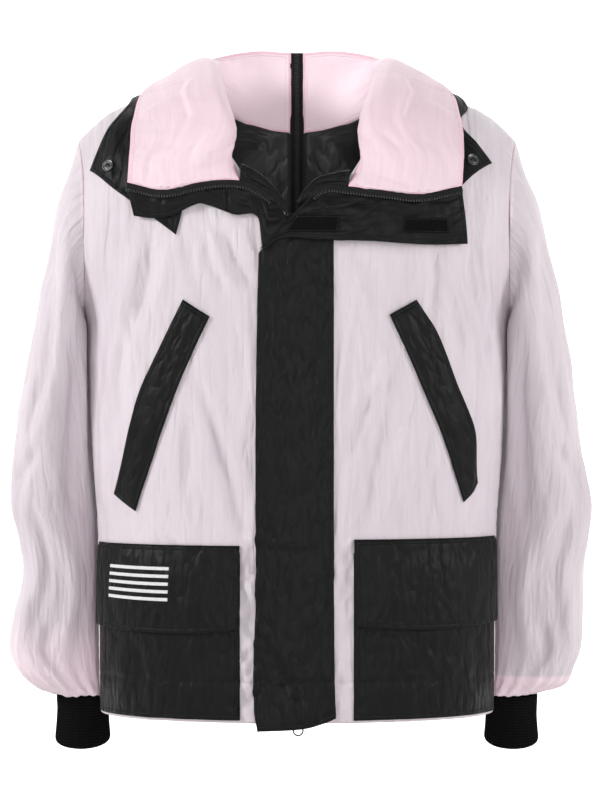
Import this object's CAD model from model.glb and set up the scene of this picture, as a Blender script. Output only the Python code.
# A hooded windbreaker in its worn shape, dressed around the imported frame.
# The cloth is worked out in millimetres on the form that a wearer gives it, and made in metres.
import math
import bmesh
import bpy
import numpy as np
from mathutils import Matrix, Vector


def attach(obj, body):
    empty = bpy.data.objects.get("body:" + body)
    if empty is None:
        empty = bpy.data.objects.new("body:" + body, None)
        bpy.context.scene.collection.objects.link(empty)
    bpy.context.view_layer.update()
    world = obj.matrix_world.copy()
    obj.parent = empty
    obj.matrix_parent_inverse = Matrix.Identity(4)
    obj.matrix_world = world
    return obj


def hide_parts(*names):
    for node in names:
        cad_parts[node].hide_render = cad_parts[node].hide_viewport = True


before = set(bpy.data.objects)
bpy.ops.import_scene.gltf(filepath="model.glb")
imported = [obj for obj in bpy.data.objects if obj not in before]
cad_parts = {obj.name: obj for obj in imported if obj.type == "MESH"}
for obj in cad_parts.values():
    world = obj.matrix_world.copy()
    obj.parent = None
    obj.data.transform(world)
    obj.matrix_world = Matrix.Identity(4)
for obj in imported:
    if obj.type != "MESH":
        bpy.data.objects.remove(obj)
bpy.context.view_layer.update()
print("frame loaded:", len(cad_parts), "nodes")

mm = 0.001
left = 1
right = -1
sideName = {left: "left", right: "right"}

# The form under the cloth, from the hem to the neck
form = {
    "z": [-709, -660, -560, -490, -426, -364, -303, -255, -200, -150, -100, -50, 20],
    "half": [227, 229, 230, 231, 236, 240, 243, 245, 262, 273, 281, 287, 291],
    "front": [140, 141, 141, 140, 139, 138, 136, 134, 130, 122, 110, 98, 90],
    "back": [112, 112, 111, 110, 110, 111, 112, 112, 110, 106, 100, 92, 88],
    "power": 2.2,
    "roundFront": 110,
    "roundBack": 100,
    "hemZ": -709,
    "armpitZ": -255,
    "tipZ": -50,
    "neckX": 98,
    "neckZ": 10,
    "neckRise": 25,  # how far the middle of the neck lies over its sides
    "slope": 0.12,
    "shoulderDrop": 41.4,
    "shoulderReach": 155,
    "zipTopZ": -141,
    "zipHemX": 1.5,
    "zipTopX": -7.5,
    "seamGap": 0.3,
    "wall": 1.5,
}
seamGap = form["seamGap"]
hemZ = form["hemZ"]
armpitZ = form["armpitZ"]


def lerp(a, b, t):
    return a + (b - a) * t


def ease(t):
    t = np.clip(t, 0, 1)
    return t * t * (3 - 2 * t)


# A smooth reading of rows of numbers or points against a row of keys
def track(keys, values):
    keys = np.asarray(keys, float)
    values = np.asarray(values, float)
    last = len(keys) - 1
    before = np.maximum(np.arange(last + 1) - 1, 0)
    after = np.minimum(np.arange(last + 1) + 1, last)
    wide = (-1,) + (1,) * (values.ndim - 1)
    slope = (values[after] - values[before]) / (keys[after] - keys[before]).reshape(wide)

    def read(at):
        at = np.clip(np.asarray(at, float), keys[0], keys[-1])
        i = np.clip(np.searchsorted(keys, at, side="right") - 1, 0, last - 1)
        shape = at.shape + (1,) * (values.ndim - 1)
        span = (keys[i + 1] - keys[i]).reshape(shape)
        t = (at - keys[i]).reshape(shape) / span
        rise = values[i + 1] - values[i]
        bend = (slope[i] * (1 - t) - slope[i + 1] * t) * span - rise * (1 - 2 * t)
        return values[i] + rise * t + bend * t * (1 - t)

    return read


# Straight ways between rows of numbers or points
def straight(keys, values):
    values = np.asarray(values, float)

    def read(at):
        if values.ndim == 1:
            return np.interp(at, keys, values)
        return np.stack([np.interp(at, keys, values[:, k]) for k in range(values.shape[1])], -1)

    return read


def unit(v):
    return v / np.maximum(np.linalg.norm(v, axis=-1, keepdims=True), 1e-9)


# How far along a line of points, or of rows of points, each of them lies
def spacing(points):
    gaps = np.linalg.norm(np.diff(np.asarray(points, float), axis=0), axis=-1)
    while gaps.ndim > 1:
        gaps = gaps.mean(-1)
    return np.concatenate([[0], np.cumsum(np.maximum(gaps, 1e-6))])


# Stations joined smoothly, spaced evenly along the way
def through(stations, count, shares=None):
    keys = spacing(stations)
    at = np.linspace(0, 1, count) if shares is None else np.asarray(shares, float)
    return track(keys, stations)(at * keys[-1])


# Swaps a grid's rows and columns
def across(grid):
    return np.swapaxes(grid, 0, 1)


formHalf = track(form["z"], form["half"])
formDepth = {"front": track(form["z"], form["front"]), "back": track(form["z"], form["back"])}
formRound = {"front": form["roundFront"], "back": form["roundBack"]}


def zipAt(z):
    t = np.clip((z - hemZ) / (form["zipTopZ"] - hemZ), 0, 1)
    return lerp(form["zipHemX"], form["zipTopX"], t)


# The level of the shoulders' ridge
def ridge(x):
    beyond = np.abs(x) - form["neckX"]
    level = form["neckZ"] - form["slope"] * beyond
    middle = level + form["neckRise"] * (1 - np.minimum(1, np.abs(x) / form["neckX"]) ** 2)
    bowed = form["shoulderDrop"] * (np.maximum(beyond, 0) / form["shoulderReach"]) ** 4
    return np.where(beyond < 0, middle, level - bowed)


def shoulderShare(x, z, face):
    along = np.clip((ridge(x) - z) / formRound[face], 0, 1)
    return np.sqrt(1 - (1 - along) ** 2)


def depthAt(x, z, face):
    power = form["power"]
    wide = np.maximum(0, 1 - np.minimum(1, np.abs(x) / formHalf(z)) ** power)
    return formDepth[face](z) * wide ** (1 / power) * shoulderShare(x, z, face)


def formNormal(x, z, face):
    y = depthAt(x, z, face)
    power = form["power"]

    def level(px, py, pz):
        share = np.maximum(shoulderShare(px, pz, face), 1e-4)
        return (np.abs(px) / formHalf(pz)) ** power + (py / (formDepth[face](pz) * share)) ** power

    step = 0.02
    dx = level(x + step, y, z) - level(x - step, y, z)
    dy = np.where(y > step, level(x, y + step, z) - level(x, np.maximum(y - step, 0), z), 0)
    dz = level(x, y, z + step) - level(x, y, z - step)
    way = unit(np.stack([dx, dy * (-1 if face == "front" else 1), dz], -1))
    atRidge = (shoulderShare(x, z, face) < 1e-3)[..., None]
    return np.where(atRidge, np.array([0.0, 0.0, 1.0]), way)


# A crease is a soft ridge or trough along hand-placed marks, with a hollow on one side of it. Each is
# a row: wide, high, marks, and the hollow's share of the height where it isn't the usual one.
usualCrease = {"fade": 0.3, "hollow": 0.4, "hollowAt": 1.7, "hollowWide": 1.2, "hollowReach": 3}


def creaseHeight(u, v, wide, high, marks, lean=usualCrease["hollow"]):
    marks = np.array(marks, float)
    reach = np.linalg.norm(np.diff(marks, axis=0), axis=1)
    shape = np.broadcast(u, v).shape
    nearest = np.full(shape, 1e9)
    along = np.zeros(shape)
    beside = np.zeros(shape)
    done = 0.0
    for (u0, v0), (u1, v1), r in zip(marks[:-1], marks[1:], reach):
        du, dv = (u1 - u0) / r, (v1 - v0) / r
        t = np.clip((u - u0) * du + (v - v0) * dv, 0, r)
        ou, ov = u - u0 - du * t, v - v0 - dv * t
        off = np.hypot(ou, ov)
        near = off < nearest
        nearest = np.where(near, off, nearest)
        along = np.where(near, (done + t) / reach.sum(), along)
        beside = np.where(near, ou * dv - ov * du, beside)
        done += r
    taper = ease(np.minimum(along, 1 - along) / usualCrease["fade"] + 0.02)
    peak = np.exp(-((nearest / wide) ** 2))
    hollow = np.exp(-(((beside / wide - usualCrease["hollowAt"]) / usualCrease["hollowWide"]) ** 2))
    hollow = hollow * np.exp(-((nearest / (usualCrease["hollowReach"] * wide)) ** 2))
    return high * taper * (peak - lean * hollow)


def creased(creases, u, v):
    return sum((creaseHeight(u, v, *crease) for crease in creases), np.zeros(np.broadcast(u, v).shape))


# Smooth uneven heights on a lattice of cells, from -1 to 1, the same in each run
lattice = {"size": 97, "shift": 200}


def uneven(u, v, cellU, cellV, seed):
    size = lattice["size"]
    table = np.random.RandomState(seed).uniform(-1, 1, (size, size))
    a = np.asarray(u, float) / cellU + lattice["shift"]
    b = np.asarray(v, float) / cellV + lattice["shift"]
    i, j = np.floor(a).astype(int), np.floor(b).astype(int)
    fa, fb = ease(a - i), ease(b - j)

    def corner(di, dj):
        return table[(i + di) % size, (j + dj) % size]

    return lerp(lerp(corner(0, 0), corner(1, 0), fa), lerp(corner(0, 1), corner(1, 1), fa), fb)


# The crumple of thin cloth: long soft waves, then shorter ones that lean both ways, and sharp ones.
# Each row is a lean, a cell across and along, and the share of the height.
crumpled = {
    "soft": [(0.1, 30, 120, 0.6), (-0.16, 14, 64, 0.42), (0.1, 7, 30, 0.2)],
    "sharp": (-0.3, 22, 70, 0.3),
}


def crumple(u, v, seed, size=1.0):
    def waves(lean, wide, long, step):
        return uneven(u + lean * v, v, wide * size, long * size, seed + step)

    soft = [high * waves(*row, step) for step, (*row, high) in enumerate(crumpled["soft"])]
    *row, high = crumpled["sharp"]
    return sum(soft) + high * (1 - 2 * np.abs(waves(*row, len(soft))))


bodyCreases = {
    "front": [
        (4.5, -5, [(-84, -146), (-70, -190), (-48, -228)], -0.5),
        (6, 5, [(-100, -150), (-84, -200), (-62, -240)]),
        (3.5, 4, [(-66, -146), (-58, -170), (-46, -200)]),
        (3, 3, [(-74, -142), (-66, -168), (-48, -212)]),
        (5, 3, [(-60, -240), (-54, -300), (-50, -380)]),
        (4, 2.5, [(-160, -480), (-150, -500), (-120, -512)]),
        (8, -3, [(-128, -150), (-118, -205), (-96, -262)]),
        (8, 5, [(-118, -282), (-92, -345), (-66, -420), (-52, -460)]),
        (8, -5, [(-104, -322), (-84, -400), (-60, -500), (-54, -530)]),
        (8, 4, [(-112, -345), (-100, -430), (-86, -505)]),
        (7, -3, [(-128, -372), (-122, -450), (-112, -508)]),
        (5, -6, [(-163, -148), (-167, -195), (-172, -235), (-188, -275)], -0.6),
        (10, 5, [(-182, -160), (-192, -220), (-206, -300), (-212, -380)]),
        (8, -4, [(-196, -262), (-200, -320), (-204, -400)]),
        (7, 4, [(-146, -175), (-150, -215), (-158, -250)]),
        (7, 4, [(-220, -330), (-219, -420), (-214, -505)]),
        (6, -4, [(152, -178), (156, -215), (150, -258)]),
        (5, -5, [(190, -178), (198, -225), (212, -272), (218, -330)], -0.6),
        (6, 5, [(168, -182), (182, -240), (196, -305)]),
        (5, 4, [(206, -160), (213, -210), (222, -260)]),
        (3.5, 3, [(178, -180), (186, -214), (200, -250)]),
        (4, 2.5, [(60, -250), (50, -330), (48, -400)]),
        (5, -3, [(86, -300), (70, -380), (50, -440)]),
        (7, 4, [(116, -290), (88, -330), (58, -366)]),
        (8, -5, [(104, -340), (86, -410), (66, -505)]),
        (8, 4, [(128, -352), (112, -430), (92, -505)]),
        (7, -3, [(150, -420), (146, -470), (138, -510)]),
        (7, -4, [(212, -318), (209, -400), (205, -480)]),
        (8, 4, [(222, -250), (228, -330), (226, -440)]),
        (8, 3, [(60, -182), (70, -225), (88, -262)]),
        (6, 2.5, [(58, -400), (52, -460), (50, -520)]),
    ],
    "back": [
        (10, -6, [(-190, -125), (-204, -210), (-208, -330)]),
        (12, 6, [(-150, -180), (-168, -300), (-176, -440)]),
        (12, -6, [(-104, -255), (-112, -420), (-122, -600)]),
        (10, 5, [(-52, -320), (-58, -480), (-66, -650)]),
        (9, 4, [(-150, -440), (-160, -560), (-158, -690)]),
        (7, -3, [(-28, -300), (-30, -420), (-26, -560)]),
        (10, -5, [(48, -280), (54, -440), (64, -630)]),
        (12, 6, [(98, -245), (104, -420), (114, -610)]),
        (11, -6, [(150, -195), (160, -320), (170, -445)]),
        (10, 6, [(192, -135), (204, -230), (208, -345)]),
        (9, -4, [(150, -450), (148, -560), (152, -690)]),
        (7, 3, [(28, -330), (26, -450), (30, -600)]),
        (9, 4, [(206, -400), (198, -500), (192, -620)]),
    ],
}
bodyCloth = {
    "crumple": 1.7,
    "hemLine": -663,  # the row of stitches that closes the hem's channel
    "hemPinch": {"high": 1.5, "wide": 2.6},
    "hemPucker": {"high": 1.9, "above": 17, "below": 11, "start": 2},
    "strips": [(-64, -43, 3.2), (42, 62, 2.0)],  # crushed cloth beside the placket: from, to, high
    "stripZ": (-712, -500),
    "sideFade": 0.05,
    "backStretch": 1.4,
    "pocket": {"innerX": 63, "outerX": 224.5, "topZ": -520, "footZ": -706},
    "placketX": 40,
    "underTrim": 0.25,  # how much of the crumple is left under the trims
}


# Whether a place lies inside a box, softened over its last few millimetres
def inside(x, z, x0, x1, z0, z1, soft=10):
    near = np.minimum(np.minimum(x - x0, x1 - x), np.minimum(z - z0, z1 - z))
    return ease(near / soft + 0.5)


def bodyFold(x, z, face):
    fade = ease((1 - np.abs(x) / formHalf(z)) / bodyCloth["sideFade"])
    if face == "front":
        p = bodyCloth["pocket"]
        hidden = np.maximum(
            inside(np.abs(x), z, p["innerX"], p["outerX"], p["footZ"], p["topZ"]),
            inside(x, z, -bodyCloth["placketX"], bodyCloth["placketX"], hemZ - 20, form["zipTopZ"]),
        )
        small = crumple(x, z, 11) * lerp(1, bodyCloth["underTrim"], hidden)
    else:
        small = crumple(x, z, 23, bodyCloth["backStretch"])
    height = creased(bodyCreases[face], x, z) + bodyCloth["crumple"] * small + hemPinch(x, z)
    if face == "front":
        crushed = uneven(x + 0.5 * z, z, 9, 20, 37) + 0.7 * uneven(x - 0.8 * z, z, 7, 15, 39)
        for fromX, toX, high in bodyCloth["strips"]:
            height = height + high * crushed * inside(x, z, fromX, toX, *bodyCloth["stripZ"])
    return height * fade


# The stitched line above the hem: a groove with puckers on both sides
def hemPinch(x, z, seed=31):
    pinch, puckers = bodyCloth["hemPinch"], bodyCloth["hemPucker"]
    off = z - bodyCloth["hemLine"]
    groove = -pinch["high"] * np.exp(-((off / pinch["wide"]) ** 2))
    reach = np.where(off > 0, puckers["above"], puckers["below"])
    waves = uneven(x + 0.35 * off, z, 6.5, 80, seed) + 0.6 * uneven(x - 0.5 * off, z, 11, 80, seed + 1)
    off = np.abs(off)
    return groove + puckers["high"] * waves * np.exp(-off / reach) * off / (off + puckers["start"])


# A point of the jacket's cloth, in millimetres, moved out by a clearance
def onBody(x, z, face, out=0.0):
    x, z, out = np.broadcast_arrays(np.asarray(x, float), np.asarray(z, float), np.asarray(out, float))
    y = depthAt(x, z, face) * (-1 if face == "front" else 1)
    base = np.stack([x, y, z], -1)
    return base + formNormal(x, z, face) * (out + bodyFold(x, z, face))[..., None]


# Rows run along a grid, columns across it
def gridNormals(grid, wrap=False):
    if wrap:
        du = np.roll(grid, -1, 1) - np.roll(grid, 1, 1)
    else:
        du = np.gradient(grid, axis=1)
    return unit(np.cross(du, np.gradient(grid, axis=0)))


# The cloth's own flat measures at each point of a grid: across from its middle, and along
def flatMeasures(grid):
    du = np.linalg.norm(np.diff(grid, axis=1), axis=-1)
    dv = np.linalg.norm(np.diff(grid, axis=0), axis=-1)
    u = np.concatenate([np.zeros((grid.shape[0], 1)), np.cumsum(du, 1)], 1)
    v = np.concatenate([np.zeros((1, grid.shape[1])), np.cumsum(dv, 0)], 0)
    return u, v


def edgeDistance(grid, wrap=False):
    u, v = flatMeasures(grid)
    ends = np.minimum(v, v[-1:] - v)
    if wrap:
        return ends
    return np.minimum(ends, np.minimum(u, u[:, -1:] - u))


# Puckers: short waves square to an edge or a row of stitches
def pucker(grid, high, seed, cell=7.0, reach=9.0, wrap=False):
    u, v = flatMeasures(grid)

    def byEdge(off, along, across, step):
        start = off / (off + 1.2)
        return np.exp(-off / reach) * start * uneven(along, across, cell, 60, seed + step)

    byEnds = byEdge(np.minimum(v, v[-1:] - v), u, v, 0)
    if wrap:
        return high * byEnds
    return high * (byEnds + byEdge(np.minimum(u, u[:, -1:] - u), v, u, 5))


# Places on a grid at shares across and along, moved out by a lift
def onGrid(grid, u, v, lift=0.0, flip=1):
    u, v = np.broadcast_arrays(np.asarray(u, float), np.asarray(v, float))
    rows, columns = grid.shape[:2]
    normals = gridNormals(grid) * flip
    a, b = np.clip(u, 0, 1) * (columns - 1), np.clip(v, 0, 1) * (rows - 1)
    i, j = np.minimum(a.astype(int), columns - 2), np.minimum(b.astype(int), rows - 2)
    fa, fb = (a - i)[..., None], (b - j)[..., None]

    def mix(g):
        return lerp(lerp(g[j, i], g[j, i + 1], fa), lerp(g[j + 1, i], g[j + 1, i + 1], fa), fb)

    up = mix(normals)
    return mix(grid) + up * np.asarray(lift, float)[..., None], up


# Whether a grid's normals point the way its cloth faces
def sideOf(grid, way, wrap=False):
    return float(np.sign((gridNormals(grid, wrap) * way).sum()))


# A bmesh sheet from a grid of points in millimetres. The flat cloth's own measures become its UV map,
# in metres, and the way to the nearest edge an attribute.
def sheetMesh(name, grid, side, wrap=False, tint=None, uv=None):
    grid = np.asarray(grid, float)
    tint = np.zeros(grid.shape[:2]) if tint is None else tint
    if wrap:
        grid = np.concatenate([grid, grid[:, :1]], 1)
        tint = np.concatenate([tint, tint[:, :1]], 1)
    rows, columns = grid.shape[:2]
    u, v = flatMeasures(grid)
    u, v = (u - u[:, -1:] / 2, v) if uv is None else uv
    fromEdge = edgeDistance(grid, wrap)
    mesh = bmesh.new()
    uvs = mesh.loops.layers.uv.new("cloth")
    edge = mesh.verts.layers.float.new("fromEdge")
    warm = mesh.verts.layers.float.new("tint")
    bmesh.ops.create_grid(mesh, x_segments=columns - 1, y_segments=rows - 1, size=0.5)
    places = {}
    for vert in mesh.verts:
        i = round((vert.co.x + 0.5) * (columns - 1))
        j = round((vert.co.y + 0.5) * (rows - 1))
        places[vert.index] = (j, i)
        vert.co = grid[j, i] * mm
        vert[edge] = fromEdge[j, i] * mm
        vert[warm] = tint[j, i]
    for face in mesh.faces:
        for loop in face.loops:
            place = places[loop.vert.index]
            loop[uvs].uv = (u[place] * mm, v[place] * mm)
    if wrap:
        bmesh.ops.remove_doubles(mesh, verts=mesh.verts, dist=1e-5)
    mesh.normal_update()
    if side < 0:
        bmesh.ops.reverse_faces(mesh, faces=mesh.faces)
    return finished(name, mesh)


def meshOf(name, mesh):
    data = bpy.data.meshes.new(name)
    mesh.to_mesh(data)
    mesh.free()
    return data


def finished(name, mesh):
    data = meshOf(name, mesh)
    data.shade_smooth()
    piece = bpy.data.objects.new(name, data)
    bpy.context.scene.collection.objects.link(piece)
    return piece


# Gives a sheet its thickness, inwards
def thickened(piece, thick, inner=0):
    wall = piece.modifiers.new("wall", "SOLIDIFY")
    wall.thickness = thick * mm
    wall.offset = -1
    wall.use_even_offset = False
    wall.material_offset = inner
    wall.material_offset_rim = 0
    return piece


# The first material names the slot, without the number that Blender adds when the frame has a
# material of that name, unless another name is given
def dressed(piece, materials, nodes=()):
    for material in materials:
        piece.data.materials.append(material)
    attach(piece, "jacket")
    if nodes:
        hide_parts(*nodes)
    return piece


# Many copies of one small shape in a single piece: each place has a centre and three ways
def scattered(name, shape, centres, ways):
    mesh = bmesh.new()
    for centre, (along, over, up) in zip(centres, ways):
        first = len(mesh.verts)
        mesh.from_mesh(shape)
        mesh.verts.ensure_lookup_table()
        turn = Matrix(np.stack([along, over, up], 1).tolist()).to_4x4()
        place = Matrix.Translation(Vector(centre * mm)) @ turn
        bmesh.ops.transform(mesh, matrix=place, verts=mesh.verts[first:])
    return finished(name, mesh)


# The three ways of a small shape: along, over and up
def waysAt(along, up):
    along = unit(along)
    over = unit(np.cross(up, along))
    return np.stack([along, over, np.cross(along, over)], 1)


stitch = {"pitch": 3.1, "length": 2.3, "radius": 0.24, "sides": 5, "lift": 0.06}


# A row of stitches beside one side of a grid, some way in from it: centres and ways of the stitches
def stitchRow(grid, side, away, flip=1):
    both = np.concatenate([grid, gridNormals(grid) * flip], -1)
    if side in ("foot", "head"):
        both = across(both)
    if side in ("last", "head"):
        both = both[:, ::-1]
    steps = np.linalg.norm(np.diff(both[..., :3], axis=1), axis=-1)
    reach = np.concatenate([np.zeros((len(both), 1)), np.cumsum(steps, 1)], 1)
    line = np.array([[np.interp(away, r, row[:, k]) for k in range(6)] for r, row in zip(reach, both)])
    keys = spacing(line[:, :3])
    at = np.arange(away, keys[-1] - away, stitch["pitch"])

    def read(where):
        return np.stack([np.interp(where, keys, line[:, k]) for k in range(6)], -1)

    here = read(at)
    up = unit(here[:, 3:])
    along = read(at + 1)[:, :3] - read(at - 1)[:, :3]
    return here[:, :3] + up * stitch["lift"], waysAt(along, up)


def stitchShape():
    mesh = bmesh.new()
    radius = stitch["radius"] * mm
    bmesh.ops.create_cone(
        mesh, cap_ends=True, segments=stitch["sides"], radius1=radius, radius2=radius,
        depth=stitch["length"] * mm,
    )
    turn = Matrix.Rotation(math.pi / 2, 3, "Y")
    bmesh.ops.rotate(mesh, verts=mesh.verts, cent=(0, 0, 0), matrix=turn)
    return meshOf("stitch", mesh)


# A small block with bevelled edges
def blockShape(size, bevel):
    mesh = bmesh.new()
    bmesh.ops.create_cube(mesh, size=1)
    bmesh.ops.scale(mesh, verts=mesh.verts, vec=[s * mm for s in size])
    bmesh.ops.bevel(
        mesh, geom=mesh.edges, offset=bevel * mm, segments=1, profile=0.5, affect="EDGES", material=-1
    )
    return meshOf("block", mesh)


stitchRows = {"black": [], "pink": []}


def stitchSides(colour, grid, sides, away, flip=1):
    for side in sides:
        stitchRows[colour].append(stitchRow(grid, side, away, flip))


# Shader sums are written as plain expressions on sockets
class Socket:
    def __init__(self, finish, socket):
        self.finish = finish
        self.socket = socket

    def maths(self, operation, first, second):
        return self.finish.node("Math", {"operation": operation}, {0: first, 1: second})

    def __add__(self, other):
        return self.maths("ADD", self, other)

    def __radd__(self, other):
        return self.maths("ADD", other, self)

    def __sub__(self, other):
        return self.maths("SUBTRACT", self, other)

    def __rsub__(self, other):
        return self.maths("SUBTRACT", other, self)

    def __mul__(self, other):
        return self.maths("MULTIPLY", self, other)

    def __rmul__(self, other):
        return self.maths("MULTIPLY", other, self)


# A material under its slot's name, with one method for any node: its settings first, then its values
class Finish:
    def __init__(self, name, colour, roughness, metallic=0.0, **fixed):
        self.material = bpy.data.materials.new(name)
        self.material.use_nodes = True
        self.tree = self.material.node_tree
        self.shader = self.tree.nodes["Principled BSDF"]
        self.material.diffuse_color = (*colour, 1)
        self.put("Base Color", (*colour, 1))
        self.put("Roughness", roughness)
        self.put("Metallic", metallic)
        for key, value in fixed.items():
            self.put(key.replace("_", " "), value)

    def put(self, key, value):
        self.connect(self.shader.inputs[key], value)

    def connect(self, target, value):
        if isinstance(value, Socket):
            self.tree.links.new(value.socket, target)
        else:
            target.default_value = value

    def node(self, kind, settings=None, values=None, output=0):
        made = self.tree.nodes.new("ShaderNode" + kind)
        for key, value in (settings or {}).items():
            setattr(made, key, value)
        for key, value in (values or {}).items():
            self.connect(made.inputs[key], value)
        return Socket(self, made.outputs[output])

    # Places on the flat cloth, in metres
    def place(self, scale=(1, 1, 1), turn=0.0):
        start = self.node("UVMap", {"uv_map": "cloth"})
        return self.node("Mapping", None, {"Vector": start, "Scale": scale, "Rotation": (0, 0, turn)})

    # Places in the jacket's own space
    def space(self):
        return self.node("Mapping", None, {"Vector": self.node("TexCoord", output="Object")})

    def noise(self, place, scale, detail=2.0, roughness=0.5, distortion=0.0):
        values = {"Vector": place, "Scale": scale, "Detail": detail, "Roughness": roughness}
        return self.node("TexNoise", None, {**values, "Distortion": distortion}, "Fac")

    def wave(self, place, scale, direction):
        values = {"Vector": place, "Scale": scale}
        return self.node("TexWave", {"bands_direction": direction}, values, "Fac")

    def span(self, value, low, high, toLow=0.0, toHigh=1.0):
        values = {"Value": value, 1: low, 2: high, 3: toLow, 4: toHigh}
        return self.node("MapRange", {"clamp": True}, values)

    def mix(self, share, first, second):
        values = {0: share, 6: colourOf(first), 7: colourOf(second)}
        return self.node("Mix", {"data_type": "RGBA"}, values, 2)

    def bump(self, height, strength, depth, normal=None):
        values = {"Height": height, "Strength": strength, "Distance": depth}
        if normal is not None:
            values["Normal"] = normal
        return self.node("Bump", None, values)

    def attribute(self, name):
        return self.node("Attribute", {"attribute_name": name}, output="Fac")

    # How far a value lies from a middle one
    def awayFrom(self, value, middle):
        return self.node("Math", {"operation": "ABSOLUTE"}, {0: value - middle})


# A colour as a socket takes it
def colourOf(value):
    return value if isinstance(value, Socket) else (*value, 1)


# Plain weave: threads over and under each other, at a pitch in metres
def weave(finish, pitch):
    place = finish.place()
    turns = 1 / pitch / (2 * math.pi)
    over = finish.wave(place, turns, "X")
    under = finish.wave(place, turns, "Y")
    return over * under + (1 - over) * (1 - under)


# Colours of the cloth: the tone, a paler and a deeper one, and the pink of doubled cloth
nylon = {
    "body": {
        "tone": (0.60, 0.53, 0.572), "pale": (0.66, 0.60, 0.64),
        "deep": (0.50, 0.415, 0.46), "warm": (0.90, 0.71, 0.775),
    },
    "collar": {
        "tone": (0.73, 0.55, 0.615), "pale": (0.79, 0.635, 0.69),
        "deep": (0.80, 0.46, 0.55), "warm": (0.97, 0.79, 0.855),
    },
    "black": {"tone": (0.0024, 0.0032, 0.0026), "pale": (0.0058, 0.0066, 0.0058)},
    "weavePitch": 0.0006,
}


# A shallow groove where a row of stitches runs, some way in from the cloth's edge
def seamGroove(finish, away, halfWidth=0.0013):
    return finish.span(finish.awayFrom(finish.attribute("fromEdge"), away), 0, halfWidth)


# Sharp small creases that lean one way: narrow valleys of a noise
def creaseLines(finish, scale, turn, width=0.1):
    drift = finish.noise(finish.place(scale, turn), 1.0)
    return finish.span(finish.awayFrom(drift, 0.5), 0, width)


# Thin streaky nylon, pinker where the cloth is doubled. The rim's share colours its edge deeper.
def thinNylon(name, colours, roughness, edgeWidth=0.005, hem=None, streaky=0.75, rim=0.0):
    tone, pale, deep, warm = (colours[key] for key in ("tone", "pale", "deep", "warm"))
    finish = Finish(name, tone, roughness, Sheen_Weight=0.12, Sheen_Roughness=0.4, Specular_IOR_Level=0.3)
    streaks = finish.noise(finish.place((230, 14, 1)), 1.0, 3, 0.55, 0.3)
    broadStreaks = finish.noise(finish.place((60, 7, 1), 0.03), 1.0, 3, 0.5, 0.5)
    cloud = finish.noise(finish.place(), 7.0, 3, 0.55)
    mottle = finish.span(streaks * 0.35 + broadStreaks * 0.4 + cloud * 0.25, 0.36, 0.64)
    seam = 1 - finish.span(finish.attribute("fromEdge"), edgeWidth * 0.6, edgeWidth)
    tint = finish.attribute("tint")
    colour = finish.mix(mottle, tone, pale)
    colour = finish.mix(tint, colour, warm)
    colour = finish.mix(seam * rim, colour, deep)
    threads = weave(finish, nylon["weavePitch"])
    colour = finish.mix(threads * 0.08, colour, deep)
    finish.put("Base Color", colour)
    finish.put("Roughness", finish.span(streaks, 0.3, 0.7, roughness - 0.06, roughness + 0.08))
    crinkles = finish.noise(finish.place((80, 16, 1), 0.06), 1.0, 4, 0.55)
    leaning = finish.noise(finish.place((90, 34, 1), -0.35), 1.0, 3, 0.55)
    first = finish.bump(crinkles, streaky, 0.003)
    if hem:
        first = finish.bump(seamGroove(finish, hem), 0.8, 0.0006, first)
    first = finish.bump(creaseLines(finish, (44, 8, 1), 0.1), streaky, 0.001, first)
    first = finish.bump(creaseLines(finish, (24, 10, 1), -0.5), streaky * 0.7, 0.001, first)
    second = finish.bump(leaning, 0.3, 0.0015, first)
    finish.put("Normal", finish.bump(threads, 0.15, 0.0001, second))
    return finish.material


# Dark woven cloth. The bumps are how strong its crinkles and its threads are.
def plainCloth(
    name, colours, roughness, bumps=(0.4, 0.25), sheen=0.01, specular=0.14, hem=None, creases=0.8
):
    tone, pale = colours["tone"], colours["pale"]
    finish = Finish(
        name, tone, roughness, Sheen_Weight=sheen, Sheen_Roughness=0.5, Specular_IOR_Level=specular
    )
    cloud = finish.noise(finish.place(), 14.0, 4, 0.6)
    streaks = finish.noise(finish.place((190, 12, 1)), 1.0, 3, 0.55)
    threads = weave(finish, nylon["weavePitch"])
    seam = 1 - finish.span(finish.attribute("fromEdge"), 0.0006, 0.0016)
    colour = finish.mix(finish.span(cloud * 0.5 + streaks * 0.5, 0.35, 0.65), tone, pale)
    colour = finish.mix(threads * 0.25, colour, pale)
    colour = finish.mix(seam * 0.6, colour, pale)
    finish.put("Base Color", colour)
    finish.put("Roughness", finish.span(cloud, 0.3, 0.7, roughness - 0.08, roughness + 0.06))
    crinkles = finish.noise(finish.place((60, 24, 1), 0.2), 1.0, 4, 0.6)
    first = finish.bump(crinkles, bumps[0], 0.003)
    first = finish.bump(creaseLines(finish, (34, 18, 1), 0.5), creases, 0.0012, first)
    first = finish.bump(creaseLines(finish, (30, 14, 1), -0.6), creases, 0.0012, first)
    if hem:
        first = finish.bump(seamGroove(finish, hem), 0.8, 0.0006, first)
    finish.put("Normal", finish.bump(threads, bumps[1], 0.0002, first))
    return finish.material


def knitCloth(name, colours):
    tone, pale = colours["tone"], colours["pale"]
    finish = Finish(
        name, tone, 0.95, Sheen_Weight=0.01, Sheen_Roughness=0.6, Specular_IOR_Level=0.02
    )
    loops = finish.wave(finish.place(), 95, "Y")
    fluff = finish.noise(finish.place(), 900, 3, 0.6)
    finish.put("Base Color", finish.mix(finish.span(loops * 0.6 + fluff * 0.4, 0.3, 0.7), tone, pale))
    finish.put("Normal", finish.bump(loops * 0.6 + fluff * 0.5, 0.6, 0.0005))
    return finish.material


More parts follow.
